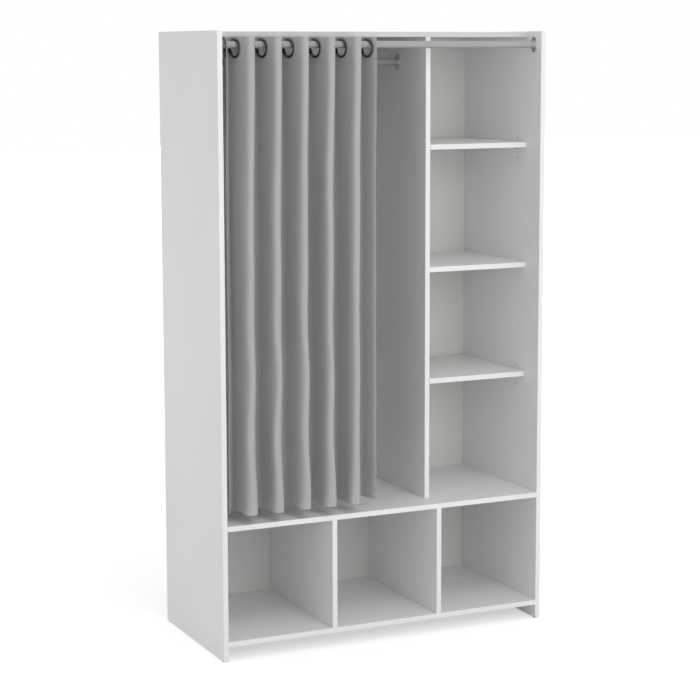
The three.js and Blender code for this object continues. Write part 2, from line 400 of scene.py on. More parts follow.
def settle(piece):
    """Moves the object's place, turn and scale into its mesh."""
    select_only([piece])
    bpy.ops.object.transform_apply(location=True, rotation=True, scale=True)


def apply_all(piece):
    select_only([piece])
    for modifier in list(piece.modifiers):
        bpy.ops.object.modifier_apply(modifier=modifier.name)


def smooth(piece):
    """Round edges shade round, and flat faces stay flat."""
    select_only([piece])
    bpy.ops.object.shade_smooth_by_angle(angle=flat_angle)
    weights = piece.modifiers.new("weights", "WEIGHTED_NORMAL")
    weights.keep_sharp = True
    apply_all(piece)


def join(pieces, name):
    select_only(pieces)
    bpy.ops.object.join()
    joined = bpy.context.object
    joined.name = name
    joined.data.name = name
    settle(joined)
    return joined


def cut_away(piece, tool, crossed=False):
    """Takes the tool's space out of the piece, and then the tool itself. Crossed is true for a
    tool of shapes that run through each other."""
    cut = piece.modifiers.new("cut", "BOOLEAN")
    cut.operation = "DIFFERENCE"
    cut.solver = "EXACT"
    cut.use_self = crossed
    cut.object = tool
    apply_all(piece)
    bpy.data.objects.remove(tool)


def add_block(name, low, high):
    """A block from its lowest to its highest corner."""
    piece = start_piece(name, bpy.ops.mesh.primitive_cube_add, size=1, location=(low + high) / 2)
    piece.scale = high - low
    settle(piece)
    return piece


def add_board(name, node):
    """A board in the place of a node, with rounded edges and a band round its two faces."""
    low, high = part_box(node)
    sizes = list(high - low)
    thin = sizes.index(min(sizes))
    piece = add_block(name, low, high)
    for finish in board_finishes:
        piece.data.materials.append(finish)
    round_faces(piece, lambda face: True, edge_round, edge_steps)
    edit(piece)
    pick_faces(piece, lambda face: abs(face.normal[thin]) > square_share)
    bpy.ops.mesh.inset(thickness=band_width)
    leave()
    margin = edge_round + band_width / 2
    for face in piece.data.polygons:
        flat = abs(face.normal[thin]) > square_share
        inner = all(low[i] + margin < face.center[i] < high[i] - margin for i in range(3) if i != thin)
        face.material_index = face_index if flat and inner else band_index
    return piece


hole_radius = 0.0026
hole_depth = 0.009
hole_pitch = 0.032
hole_sides = 24
hole_margin_share = 1.01
overrun = 0.001
skin = 0.0001
along_x = (0, math.pi / 2, 0)


def add_cylinder(name, middle, radius, length, sides, turn=(0, 0, 0)):
    """An upright cylinder, or one that is turned from upright."""
    cylinder = bpy.ops.mesh.primitive_cylinder_add
    sizes = {"vertices": sides, "radius": radius, "depth": length}
    return start_piece(name, cylinder, location=middle, rotation=turn, **sizes)


def drill(piece, spots):
    """Blind holes along X into the piece. A spot is a point on its face and the way in, 1 or -1."""
    tools = []
    for spot, way in spots:
        middle = spot + Vector((way * (hole_depth - overrun) / 2, 0, 0))
        tool = add_cylinder("hole", middle, hole_radius, hole_depth + overrun, hole_sides, along_x)
        tools.append(tool)
    cut_away(piece, join(tools, "holes"))
    face_x = spots[0][0].x
    reach = hole_radius * hole_margin_share
    for face in piece.data.polygons:
        near = any((face.center - spot).yz.length < reach for spot, way in spots)
        if near and skin < abs(face.center.x - face_x) < hole_depth + overrun:
            face.material_index = raw_index


pin_count = 8
shelf_pins = [f"shelf_pin_{i}" for i in range(1, pin_count + 1)]


def pin_spots(face_x, way):
    """The hole that each pin sits in, with a spare hole above and below it."""
    spots = []
    for node in shelf_pins:
        low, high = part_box(node)
        if low.x < face_x < high.x:
            middle = (low + high) / 2
            for place in (-1, 0, 1):
                spots.append((Vector((face_x, middle.y, middle.z + place * hole_pitch)), way))
    return spots


boards = [
    "left_side",
    "right_side",
    "top_panel",
    "middle_shelf",
    "bottom_panel",
    "centre_divider",
    "cubby_partition_1",
    "cubby_partition_2",
    "fixed_shelf",
    "lower_loose_shelf",
    "upper_loose_shelf",
]
for node in boards:
    piece = add_board(f"{node}_board", node)
    if node == "top_panel":
        # The top panel's band is greyer, as painted shade.
        piece.data.materials[band_index] = painted_shade_band
    if node == "right_side":
        drill(piece, pin_spots(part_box(node)[0].x, 1))
    if node == "centre_divider":
        drill(piece, pin_spots(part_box(node)[1].x, -1))
    smooth(piece)
    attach(piece, "carcass")
    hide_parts(node)

# Backs
# Three sheets of three millimetre hardboard, lacquered white on the inside and raw brown behind,
# where the press leaves a fine mesh pattern. They are nailed to the rear edges of the boards.
lacquer = (0.765, 0.76, 0.745, 1.0)
lacquer_shade = (0.74, 0.735, 0.72, 1.0)
lacquer_peel = 260.0
lacquer_depth = 0.00004
lacquer_roughness = (0.42, 0.54)
fibre_light = (0.26, 0.16, 0.085, 1.0)
fibre_dark = (0.15, 0.085, 0.042, 1.0)
fibre_scale = 190.0
fibre_detail = 5.0
fibre_fineness = 0.65
fibre_clouds = 0.2
fibre_cloud_scale = 7.0
fibre_edges = (0.3, 0.7)
fibre_roughness = 0.85
screen_pitch = 0.0016
screen_depth = 0.0002


def lacquered_hardboard():
    finish = Finish("lacquered_hardboard")
    place = finish.place()
    peel = finish.noise(place, lacquer_peel)
    clouds = finish.noise(place, cloud_scale, grain_detail)
    colour = finish.mix(lacquer, lacquer_shade, clouds.step(*cloud_edges))
    return finish.worked_surface(colour, peel, lacquer_depth, lacquer_roughness)


def raw_hardboard():
    finish = Finish("raw_hardboard")
    place = finish.place()
    fibres = finish.noise(place, fibre_scale, fibre_detail, fibre_fineness)
    clouds = finish.noise(place, fibre_cloud_scale, grain_detail)
    tone = fibres + (clouds - 0.5) * fibre_clouds
    colour = finish.mix(fibre_light, fibre_dark, tone.step(*fibre_edges))
    across, _, upright = finish.parts(place)
    turn = 2 * math.pi / screen_pitch
    mesh_marks = (across * turn).wave() * (upright * turn).wave()
    relief = finish.bump(fibres + mesh_marks / 2, screen_depth)
    return finish.surface(Base_Color=colour, Roughness=fibre_roughness, Normal=relief)


back_finishes = [lacquered_hardboard(), raw_hardboard()]
lacquered_index, raw_back_index = range(len(back_finishes))
back_round = 0.0003
back_steps = 2
front_share = 0.5
backs = ["back_upper_left", "back_upper_right", "back_lower"]
for node in backs:
    low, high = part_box(node)
    piece = add_block(f"{node}_sheet", low, high)
    for finish in back_finishes:
        piece.data.materials.append(finish)
    round_faces(piece, lambda face: True, back_round, back_steps)
    for face in piece.data.polygons:
        face.material_index = lacquered_index if face.normal.y < -front_share else raw_back_index
    smooth(piece)
    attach(piece, "carcass")
    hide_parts(node)

# Back nails
# Thin bright nails with flat round heads hold the backs, one row round each sheet, in the
# middle of the edge of the board behind it. Where two sheets meet, each has a row of its own.
nail_radius = 0.0021
nail_stand = 0.0006
nail_round = 0.0003
nail_sides = 10
nail_pitch = 0.10
nail_steel = (0.56, 0.55, 0.52, 1.0)
nail_marks = 900.0
nail_roughness = (0.35, 0.55)
rim_steps = 3


def plain_steel(name, colour, scale, roughness):
    finish = Finish(name)
    marks = finish.noise(finish.place(), scale)
    return finish.surface(Base_Color=colour, Metallic=1.0, Roughness=marks.between(roughness))


def even_places(low, high, pitch):
    """Places from low to high, both included, at most a pitch apart."""
    count = max(1, math.ceil((high - low) / pitch))
    return [low + (high - low) * i / count for i in range(count + 1)]


def add_disc(place, axis, radius, thickness, sides, round_off):
    """A flat round head on a face: its rim at the free end is rounded off."""
    disc = add_cylinder("disc", place + axis * thickness / 2, radius, thickness, sides)
    disc.rotation_mode = "QUATERNION"
    disc.rotation_quaternion = axis.to_track_quat("Z", "Y")
    settle(disc)
    round_faces(disc, lambda face: face.normal.dot(axis) > square_share, round_off, rim_steps)
    return disc


rear_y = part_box("back_lower")[1].y
half_board = (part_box("top_panel")[1].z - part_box("top_panel")[0].z) / 2
left_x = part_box("left_side")[0].x + half_board
right_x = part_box("right_side")[1].x - half_board
divider_low, divider_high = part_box("centre_divider")
row_shift = half_board / 4
top_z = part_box("top_panel")[0].z + half_board
middle_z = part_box("middle_shelf")[0].z + half_board
bottom_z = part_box("bottom_panel")[0].z + half_board
nail_places = []
for z in even_places(bottom_z, top_z, nail_pitch):
    nail_places.append((left_x, z))
    nail_places.append((right_x, z))
for z in even_places(middle_z + nail_pitch / 2, top_z - nail_pitch / 2, nail_pitch):
    nail_places.append((divider_low.x + row_shift, z))
    nail_places.append((divider_high.x - row_shift, z + nail_pitch / 4))
for x in even_places(left_x, right_x, nail_pitch)[1:-1]:
    nail_places.append((x, top_z))
    nail_places.append((x, bottom_z))
    nail_places.append((x, middle_z + row_shift))
    nail_places.append((x + nail_pitch / 4, middle_z - row_shift))
backward = Vector((0, 1, 0))
first_nail = add_disc(Vector((0, 0, 0)), backward, nail_radius, nail_stand, nail_sides, nail_round)
nails = []
for x, z in nail_places:
    nail = first_nail.copy()
    nail.data = first_nail.data.copy()
    nail.data.transform(Matrix.Translation((x, rear_y, z)))
    bpy.context.collection.objects.link(nail)
    nails.append(nail)
bpy.data.objects.remove(first_nail)
back_nails = join(nails, "back_nails")
back_nails.data.materials.append(plain_steel("nail_steel", nail_steel, nail_marks, nail_roughness))
smooth(back_nails)
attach(back_nails, "carcass")

# Shelf pins
# Five millimetre steel pins, pushed half into their holes, carry the two loose shelves. Both
# ends are rounded, and the lathe has left faint marks round them.
pin_steel = (0.16, 0.16, 0.165, 1.0)
pin_round = 0.0006
pin_sides = 32
pin_marks = 1400.0
pin_mark_run = 60.0
pin_mark_depth = 0.00001
pin_roughness = (0.28, 0.43)


def turned_steel():
    finish = Finish("pin_steel")
    marks = finish.streaks(finish.place(), (pin_marks, pin_mark_run, pin_mark_run), grain_detail)
    return finish.worked_surface(pin_steel, marks, pin_mark_depth, pin_roughness, metallic=1.0)


def add_bar(name, node, sides, round_off):
    """A round bar along X in the place of a node, with rounded ends."""
    low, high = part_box(node)
    radius = (high.z - low.z) / 2
    bar = add_cylinder(name, (low + high) / 2, radius, high.x - low.x, sides, along_x)
    settle(bar)
    round_faces(bar, lambda face: abs(face.normal.x) > square_share, round_off, rim_steps)
    return bar


pin_finish = turned_steel()
for node in shelf_pins:
    pin = add_bar(f"{node}_turned", node, pin_sides, pin_round)
    pin.data.materials.append(pin_finish)
    smooth(pin)
    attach(pin, "carcass")
    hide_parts(node)

# Screw caps
# White plastic caps that clip over the fixed shelf's screws on the hanging side of the divider.
# Each is a shallow dome with a rounded rim.
cap_white = (0.84, 0.84, 0.83, 1.0)
cap_sides = 48
cap_rim = 0.0005
cap_inset = 0.0022
cap_rise = 0.00025
cap_grain = 800.0
cap_grain_depth = 0.00001
cap_roughness = (0.32, 0.42)


def cap_plastic():
    finish = Finish("cap_plastic")
    grain = finish.noise(finish.place(), cap_grain)
    return finish.worked_surface(cap_white, grain, cap_grain_depth, cap_roughness)


cap_finish = cap_plastic()
for node in ("screw_cap_1", "screw_cap_2"):
    cap = add_bar(f"{node}_dome", node, cap_sides, cap_rim)
    edit(cap)
    pick_faces(cap, lambda face: face.normal.x < -square_share)
    bpy.ops.mesh.inset(thickness=cap_inset)
    bpy.ops.transform.translate(value=(-cap_rise, 0, 0))
    leave()
    cap.data.materials.append(cap_finish)
    smooth(cap)
    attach(cap, "carcass")
    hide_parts(node)

# Nail glides
# Dark plastic glides with a nail moulded in, knocked into the lower edge of both sides. Their
# soles are domed at the rim and scuffed by the floor.
glide_dark = (0.035, 0.035, 0.037, 1.0)
glide_worn = (0.08, 0.08, 0.08, 1.0)
glide_count = 4
glide_sides = 48
glide_rim = 0.0011
glide_steps = 5
scuff_scale = 420.0
scuff_detail = 5.0
scuff_fineness = 0.7
scuff_edges = (0.45, 0.75)
scuff_depth = 0.00005
glide_roughness = (0.45, 0.70)


def glide_plastic():
    finish = Finish("glide_plastic")
    scuffs = finish.noise(finish.place(), scuff_scale, scuff_detail, scuff_fineness)
    colour = finish.mix(glide_dark, glide_worn, scuffs.step(*scuff_edges))
    return finish.worked_surface(colour, scuffs, scuff_depth, glide_roughness)


glide_finish = glide_plastic()
for i in range(1, glide_count + 1):
    low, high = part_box(f"nail_glide_{i}")
    name = f"nail_glide_{i}_moulded"
    radius = (high.x - low.x) / 2
    glide = add_cylinder(name, (low + high) / 2, radius, high.z - low.z, glide_sides)
    settle(glide)
    round_faces(glide, lambda face: face.normal.z < -square_share, glide_rim, glide_steps)
    glide.data.materials.append(glide_finish)
    smooth(glide)
    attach(glide, "carcass")
    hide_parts(f"nail_glide_{i}")

# Rods
# Two steel tubes with a light grey coat: the curtain rod near the front edges and the hanging
# rail behind it. The coat has faint streaks along the tube and fine flecks.
coat_grey = (0.385, 0.385, 0.39, 1.0)
coat_shade = (0.345, 0.345, 0.35, 1.0)
coat_scale = 300.0
coat_run = 6.0
coat_edges = (0.35, 0.75)
coat_roughness = (0.42, 0.54)
fleck_scale = 1200.0
fleck_depth = 0.00001
tube_wall = 0.0012
tube_sides = 64
tube_rim = 0.0003


def coated_steel():
    finish = Finish("rod_steel")
    place = finish.place()
    grain = finish.streaks(place, (coat_run, coat_scale, coat_scale), grain_detail)
    colour = finish.mix(coat_grey, coat_shade, grain.step(*coat_edges))
    relief = finish.bump(finish.noise(place, fleck_scale), fleck_depth)
    roughness = grain.between(coat_roughness)
    return finish.surface(Base_Color=colour, Metallic=0.0, Roughness=roughness, Normal=relief)


def give_wall(piece, thickness):
    """Turns a bare skin into a wall that grows inwards."""
    wall = piece.modifiers.new("wall", "SOLIDIFY")
    wall.thickness = thickness
    wall.offset = -1.0
    apply_all(piece)


rod_finish = coated_steel()
for node in ("curtain_rod", "hanging_rail"):
    rod = add_bar(f"{node}_tube", node, tube_sides, tube_rim)
    edit(rod)
    pick_faces(rod, lambda face: abs(face.normal.x) > square_share)
    bpy.ops.mesh.delete(type="FACE")
    leave()
    give_wall(rod, tube_wall)
    rod.data.materials.append(rod_finish)
    smooth(rod)
    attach(rod, "carcass")
    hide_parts(node)

# Rod sockets
# Die-cast sockets with a satin chrome skin: an upright oval plate on the board and a short
# collar round the rod's end. Two screws hold each one, above and below the collar.
cast_grey = (0.54, 0.54, 0.55, 1.0)
cast_scale = 500.0
cast_depth = 0.00002
cast_roughness = (0.22, 0.36)
socket_width = 0.031
socket_plate = 0.003
socket_sides = 64
socket_edge = 0.0010
socket_edge_steps = 4
collar_wall = 0.0022
collar_gap = 0.0003
collar_round = collar_wall / 3
screw_margin = 0.0055
screw_radius = 0.0034
screw_height = 0.0012
screw_sides = 32
screw_round_share = 0.6
recess_length_share = 1.1
recess_width_share = 0.28
recess_turn = math.pi / 5
screw_dark = (0.27, 0.27, 0.275, 1.0)
screw_marks = 1200.0
screw_roughness = (0.3, 0.5)


def polished_metal(name, colour, scale, depth, roughness):
    """Bright metal whose skin is slightly uneven."""
    finish = Finish(name)
    haze = finish.noise(finish.place(), scale, grain_detail)
    return finish.worked_surface(colour, haze, depth, roughness, metallic=1.0)


def add_collar(inner, start, length, centre, way):
    """A tube along X, from a start above the board's face, with a rounded outer rim."""
    circle = bpy.ops.mesh.primitive_circle_add
    collar = start_piece("collar", circle, vertices=socket_sides, radius=inner + collar_wall)
    edit(collar, "EDGE")
    bpy.ops.mesh.select_all(action="SELECT")
    bpy.ops.mesh.extrude_region_move(TRANSFORM_OT_translate={"value": (0, 0, length)})
    leave()
    give_wall(collar, collar_wall)
    edit(collar)
    bpy.ops.mesh.select_all(action="SELECT")
    bpy.ops.mesh.normals_make_consistent(inside=False)
    leave()

    def at_free_end(face):
        return abs(face.normal.z) > square_share and face.calc_center_median().z > length / 2

    round_faces(collar, at_free_end, collar_round, rim_steps)
    collar.rotation_euler = (0, way * math.pi / 2, 0)
    collar.location = centre + Vector((way * start, 0, 0))
    settle(collar)
    return collar


def add_plate(height, centre, way):
    """An upright plate with round ends: a disc whose upper and lower halves are drawn apart."""
    turn = (0, 0, math.pi / socket_sides)
    plate = add_cylinder("plate", Vector(), socket_width / 2, socket_plate, socket_sides, turn)
    settle(plate)
    straight = (height - socket_width) / 2
    for vertex in plate.data.vertices:
        vertex.co.x += math.copysign(straight, vertex.co.x)
    round_faces(plate, lambda face: face.normal.z > square_share, socket_edge, socket_edge_steps)
    plate.rotation_euler = (0, way * math.pi / 2, 0)
    plate.location = centre + Vector((way * socket_plate / 2, 0, 0))
    settle(plate)
    return plate


def add_screw(place, way):
    """A raised screw head with a cross recess."""
    axis = Vector((way, 0, 0))
    head = add_disc(place, axis, screw_radius, screw_height, screw_sides, screw_height * screw_round_share)
    top = place + axis * screw_height
    length = screw_radius * recess_length_share
    width = screw_radius * recess_width_share
    slots = []
    for turn in (0, math.pi / 2):
        slot = start_piece("slot", bpy.ops.mesh.primitive_cube_add, size=1, location=top)
        slot.scale = (screw_height, length, width)
        slot.rotation_euler = (turn + recess_turn, 0, 0)
        slots.append(slot)
    cut_away(head, join(slots, "recess"), crossed=True)
    return head


cast_finish = polished_metal("socket_metal", cast_grey, cast_scale, cast_depth, cast_roughness)
screws = []
for rod in ("curtain_rod", "hanging_rail"):
    rod_low, rod_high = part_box(rod)
    rod_radius = (rod_high.z - rod_low.z) / 2
    for side, way in (("left", 1), ("right", -1)):
        node = f"{rod}_socket_{side}"
        low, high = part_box(node)
        face_x = low.x if way > 0 else high.x
        centre = Vector((face_x, (low.y + high.y) / 2, (low.z + high.z) / 2))
        start = socket_plate / 2
        collar = add_collar(rod_radius + collar_gap, start, high.x - low.x - start, centre, way)
        plate = add_plate(high.z - low.z, centre, way)
        socket = join([plate, collar], f"{node}_cast")
        socket.data.materials.append(cast_finish)
        smooth(socket)
        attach(socket, "carcass")
        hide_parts(node)
        reach = (high.z - low.z) / 2 - screw_margin
        for up in (-1, 1):
            screws.append(add_screw(centre + Vector((way * socket_plate, 0, up * reach)), way))
socket_screws = join(screws, "socket_screws")
socket_screws.data.materials.clear()
socket_screws.data.materials.append(plain_steel("screw_steel", screw_dark, screw_marks, screw_roughness))
smooth(socket_screws)
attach(socket_screws, "carcass")

# Eyelets
# Each eyelet is two dished rings of dark chromed brass, pressed together through a hole in the
# cloth. The rod runs through the bore, whose narrowest place is at the cloth. The first one is
# flatter, so that it clears the rod's socket when the curtain is drawn.
eyelet_count = 12
eyelet_chrome = (0.12, 0.12, 0.125, 1.0)
eyelet_haze = 160.0
eyelet_haze_depth = 0.00003
eyelet_roughness = (0.12, 0.20)
eyelet_steps = 72
eyelet_flare = 0.41
eyelet_crown = 0.0017
first_crown = 0.0002
eyelet_rim = 0.0013
eyelet_rim_steps = 5
eyelet_edge_share = 0.30
eyelet_dish = 0.0004
eyelet_dish_steps = 12
eyelet_weld = 0.00001
flank_angle = math.radians(75.4)


def cloth_normal(i):
    """The way that an eyelet faces, square to the cloth there, seen from above."""
    turn = flank_angle if i % 2 == 1 else math.pi - flank_angle
    return Vector((math.sin(turn), -math.cos(turn), 0))


def eyelet_sizes(i):
    """The middle, outer and bore radius, and half the thickness, of an eyelet's solid."""
    low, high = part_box(f"eyelet_{i}")
    outer = (high.z - low.z) / 2
    middle = (low + high) / 2
    normal = cloth_normal(i)
    points = [v.co - middle for v in frame["nodes"][f"eyelet_{i}"].data.vertices]
    half = max(abs(p.dot(normal)) for p in points)
    bore = min((p - normal * p.dot(normal)).length for p in points)
    return middle, outer, bore, half


def arc_points(centre, radius, start, end, steps):
    """Points on an arc, its two ends included. Radius is a pair for an oval arc."""
    points = []
    for i in range(steps + 1):
        angle = start + (end - start) * i / steps
        points.append((centre[0] + radius[0] * math.cos(angle), centre[1] + radius[1] * math.sin(angle)))
    return points


def eyelet_profile(bore, outer, half, rise):
    """Half of the ring's section, as distance from the axis and height above the cloth."""
    top = half + rise
    barrel = top - eyelet_rim
    crown = bore + eyelet_flare * barrel + eyelet_rim
    edge = half * eyelet_edge_share
    quarter = math.pi / 2
    rim = arc_points((crown, barrel), (eyelet_rim, eyelet_rim), math.pi, quarter, eyelet_rim_steps)
    dish = arc_points((crown, edge), (outer - crown, top - edge), quarter, 0, eyelet_dish_steps)
    return [(bore, 0)] + rim + dish[1:] + [(outer - eyelet_dish, edge / 2)]


def add_eyelet(i):
    """Both rings of an eyelet in one turned piece, square to the cloth."""
    middle, outer, bore, half = eyelet_sizes(i)
    upper = eyelet_profile(bore, outer, half, first_crown if i == 1 else eyelet_crown)
    lower = [(r, -h) for r, h in reversed(upper[1:])]
    profile = upper + lower
    circle = bpy.ops.mesh.primitive_circle_add
    ring = start_piece(f"eyelet_ring_{i}", circle, vertices=len(profile), radius=half)
    for vertex, (r, h) in zip(ring.data.vertices, profile):
        vertex.co = (r, 0, h)
    edit(ring, "EDGE")
    bpy.ops.mesh.select_all(action="SELECT")
    bpy.ops.mesh.spin(steps=eyelet_steps, angle=2 * math.pi, center=(0, 0, 0), axis=(0, 0, 1))
    bpy.ops.mesh.select_all(action="SELECT")
    bpy.ops.mesh.remove_doubles(threshold=eyelet_weld)
    bpy.ops.mesh.normals_make_consistent(inside=False)
    leave()
    ring.rotation_mode = "QUATERNION"
    ring.rotation_quaternion = cloth_normal(i).to_track_quat("Z", "Y")
    ring.location = middle
    settle(ring)
    return ring


eyelet_finish = polished_metal(
    "eyelet_chrome", eyelet_chrome, eyelet_haze, eyelet_haze_depth, eyelet_roughness
)
for i in range(1, eyelet_count + 1):
    ring = add_eyelet(i)
    ring.data.materials.append(eyelet_finish)
    smooth(ring)
    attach(ring, f"fold_{i}")
    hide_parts(f"eyelet_{i}")

# Curtain
# One width of plain woven mid grey polyester, gathered on the rod by its eyelets, so that it
# hangs in regular upright folds. It is hemmed all round: a deep doubled heading that takes the
# eyelets, a turned-up lower hem and narrow side hems, each held by a row of stitches.
cloth_thickness = 0.0007
hem_thickness = 0.0014
heading_depth = 0.078
hem_depth = 0.030
side_hem = 0.014
hole_share = 0.35

# A pair is a size at the heading, where the eyelets hold the cloth, and well below it.
back, front = 1, -1
first_reach = (0.034, 0.025)
last_reach = (0.038, 0.034)
edge_curl = 0.0045
held_reach = {back: (0.030, 0.016), front: (0.030, 0.0035)}
fold_fullness = {back: (0.5, 0.82), front: (0.5, 0.36)}
fullness_past = {back: (0.5, 0.82), front: (0.5, 0.60)}
crest_radius = {back: 0.006, front: 0.0120}
crest_draw = 0.006
crest_flare = {back: 0.3, front: 1.5}
flare_reach = 0.20
back_shift = (0.0, -0.00325)
flank_shift = (0.0, -0.0065)

# The front crests lean aside, each by its own amount.
front_leans = [(-0.004, -0.010), (-0.004, -0.010), (-0.003, -0.007), (-0.004, -0.010), (-0.004, -0.010)]

# The cloth's left edge hangs beside the left board, so its first fold is squeezed.
first_shift = (0.0, 0.0005)
first_pinch = (0.0, 0.0035)
first_turn = (flank_angle, math.radians(66))
first_fullness = (0.5, 0.3)

# Slow waves along the height, and a swing that all the front crests share low down.
sway_free = 0.045
sway_full = 0.42
sway_seed = 7
front_sway = (0.0022, 0.0016, 0.0020)
back_sway = (0.0008, 0.0012, 0.0004)
flank_sway = 0.0008
sway_lengths = (1.55, 0.72, 0.38)
sway_shares = (1.0, 0.55, 0.28)
swing_length = 0.36
swing_peak = 0.41
swing_top = 0.85
swing_fade = 0.35
swing_sizes = (0.0038, 0.0048, 0.0046, 0.0024, 0.0018)

# How finely the cloth is divided.
held_steps = 8
side_steps = 12
crest_steps = {back: 8, front: 14}
row_fine = 0.0032
row_coarse = 0.0100
seam_step = 0.0010

fold_boxes = [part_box(f"curtain_fold_{i}") for i in range(1, eyelet_count + 1)]
cloth_foot = min(low.z for low, high in fold_boxes)
cloth_height = max(high.z for low, high in fold_boxes) - cloth_foot
joint_places = {joint["name"]: joint["pos_m"] for joint in frame["joints"]}
eyelet_middles = [eyelet_sizes(i)[0] for i in range(1, eyelet_count + 1)]
eyelet_outer, eyelet_bore = eyelet_sizes(1)[1:3]
eyelet_height = eyelet_middles[0].z - cloth_foot
hole_size = eyelet_bore + (eyelet_outer - eyelet_bore) * hole_share


def sway_waves(rng, size):
    """A slow random wave along the height: a list of height, length and shift."""
    return [(size * s, length, rng.uniform(0, 2 * math.pi)) for s, length in zip(sway_shares, sway_lengths)]


def looseness(height):
    """0 at the heading, where the eyelets hold the cloth flat, and 1 well below it."""
    below = eyelet_height - sway_free - height
    free = min(1.0, max(0.0, below / sway_full))
    return free * free * (3 - 2 * free)


def sway_at(waves, height):
    return looseness(height) * sum(
        size * math.sin(2 * math.pi * height / length + shift) for size, length, shift in waves
    )


def loosen(held_and_free, height):
    """A size between its value at the heading and its value well below it."""
    held, free = held_and_free
    return held + (free - held) * looseness(height)


sway_rng = random.Random(sway_seed)
flank_waves = [sway_waves(sway_rng, flank_sway) for i in range(eyelet_count)]
crest_waves = [
    [sway_waves(sway_rng, size) for size in (back_sway if i % 2 == 1 else front_sway)]
    for i in range(1, eyelet_count)
]


def crest_side(p):
    """The crests lie at the back and in front by turns, from the left."""
    return back if p % 2 == 1 else front


def swing_at(fold, height):
    """How far a front crest swings aside low down, where all the folds wander together."""
    fade = min(1.0, max(0.0, (swing_top - height) / swing_fade))
    return swing_sizes[fold] * fade * math.cos(2 * math.pi * (height - swing_peak) / swing_length)


def crest_at(p, height):
    """The crest between eyelets p and p + 1 at a height, seen from above, and its radius.

    Near the lower hem nothing holds the fold together, and it opens wider.
    """
    wave_x, wave_y, wave_radius = crest_waves[p - 1]
    side = crest_side(p)
    place = Vector(joint_places[f"crease_{p}"][:2])
    place.y -= side * crest_draw
    if side == front:
        fold = p // 2 - 1
        place.x += loosen(front_leans[fold], height) + swing_at(fold, height)
    else:
        place.x += loosen(first_pinch if p == 1 else back_shift, height)
    place += Vector((sway_at(wave_x, height), sway_at(wave_y, height)))
    flare = 1 + crest_flare[side] * max(0.0, 1 - height / flare_reach) ** 2
    return place, (crest_radius[side] + sway_at(wave_radius, height)) * flare


def cloth_way(i):
    """The way that the cloth runs past eyelet i, from its left edge on, seen from above."""
    return Vector((math.cos(flank_angle), crest_side(i) * math.sin(flank_angle)))


def eyelet_at(i, height):
    """The middle of the flank below eyelet i at a height, seen from above."""
    way = cloth_way(i)
    place = eyelet_middles[i - 1].xy + Vector((-way.y, way.x)) * sway_at(flank_waves[i - 1], height)
    if crest_side(i) == back:
        place.x += loosen(first_shift if i == 1 else flank_shift, height)
    return place


def bezier(points, share):
    """A point on the curve of four points."""
    while len(points) > 1:
        points = [first.lerp(second, share) for first, second in zip(points, points[1:])]
    return points[0]


def fold_curve(held, way, crest, radius, fullness):
    """The four points of the curve from the end of an eyelet's flat stretch to a crest.

    The third one lies where the curve arrives at the crest with the crest's radius.
    """
    drop = abs(crest.y - held.y)
    inner = held + way * (fullness * drop / abs(way.y))
    turn = math.sqrt(2 / 3 * abs(crest.y - inner.y) * radius)
    return [held, inner, crest - Vector((math.copysign(turn, way.x), 0)), crest]


def plan_points(p, height):
    """Panel p seen from above at a height, from one eyelet to the next, past the crest between."""
    side = crest_side(p)
    reach = loosen(held_reach[side], height)
    start, end = eyelet_at(p, height), eyelet_at(p + 1, height)
    way_in, way_out = cloth_way(p), cloth_way(p + 1)
    crest, radius = crest_at(p, height)
    fullness_in = loosen(fold_fullness[side], height)
    fullness_out = loosen(fullness_past[side], height)
    if p == 1:
        fullness_in = loosen(first_fullness, height)
        turn = loosen(first_turn, height)
        way_in = Vector((math.cos(turn), math.sin(turn)))
    before = fold_curve(start + reach * way_in, way_in, crest, radius, fullness_in)
    after = fold_curve(end - reach * way_out, -way_out, crest, radius, fullness_out)
    points = []
    if p == 1:
        edge = start - loosen(first_reach, height) * way_in
        points += [edge.lerp(start, i / side_steps) for i in range(side_steps)]
    steps = crest_steps[side]
    points += [start.lerp(before[0], i / held_steps) for i in range(held_steps)]
    points += [bezier(before, i / steps) for i in range(steps)]
    points += [bezier(after, 1 - i / steps) for i in range(steps)]
    points += [after[0].lerp(end, i / held_steps) for i in range(held_steps + 1)]
    if p == eyelet_count - 1:
        aside = Vector((-way_out.y, way_out.x))
        for i in range(1, side_steps + 1):
            share = i / side_steps
            length = loosen(last_reach, height) * share
            points.append(end + way_out * length + aside * (edge_curl * share**4))
    return points


def row_heights():
    """The heights of the rows above the lower hem, close together at the heading."""
    heading_line = cloth_height - heading_depth
    rows = even_places(0, hem_depth - seam_step, row_coarse)
    rows += even_places(hem_depth, heading_line - seam_step, row_coarse)
    rows += even_places(heading_line, cloth_height, row_fine)
    return rows


rows = row_heights()


def add_panel(p, start_u):
    """The stretch of cloth from one eyelet to the next, and its width on the flat pattern."""
    flat = plan_points(p, eyelet_height)
    panel = start_piece(
        f"curtain_panel_{p}",
        bpy.ops.mesh.primitive_grid_add,
        x_subdivisions=len(flat) - 1,
        y_subdivisions=len(rows) - 1,
        size=1,
    )
    along = [0.0]
    for first, second in zip(flat, flat[1:]):
        along.append(along[-1] + (second - first).length)
    points = [plan_points(p, height) for height in rows]
    pattern = []
    for vertex in panel.data.vertices:
        row, column = divmod(vertex.index, len(flat))
        x, y = points[row][column]
        vertex.co = (x, y, cloth_foot + rows[row])
        pattern.append((start_u + along[column], rows[row]))
    layer = panel.data.uv_layers.active.data
    for loop in panel.data.loops:
        layer[loop.index].uv = pattern[loop.vertex_index]
    return panel, along[-1]


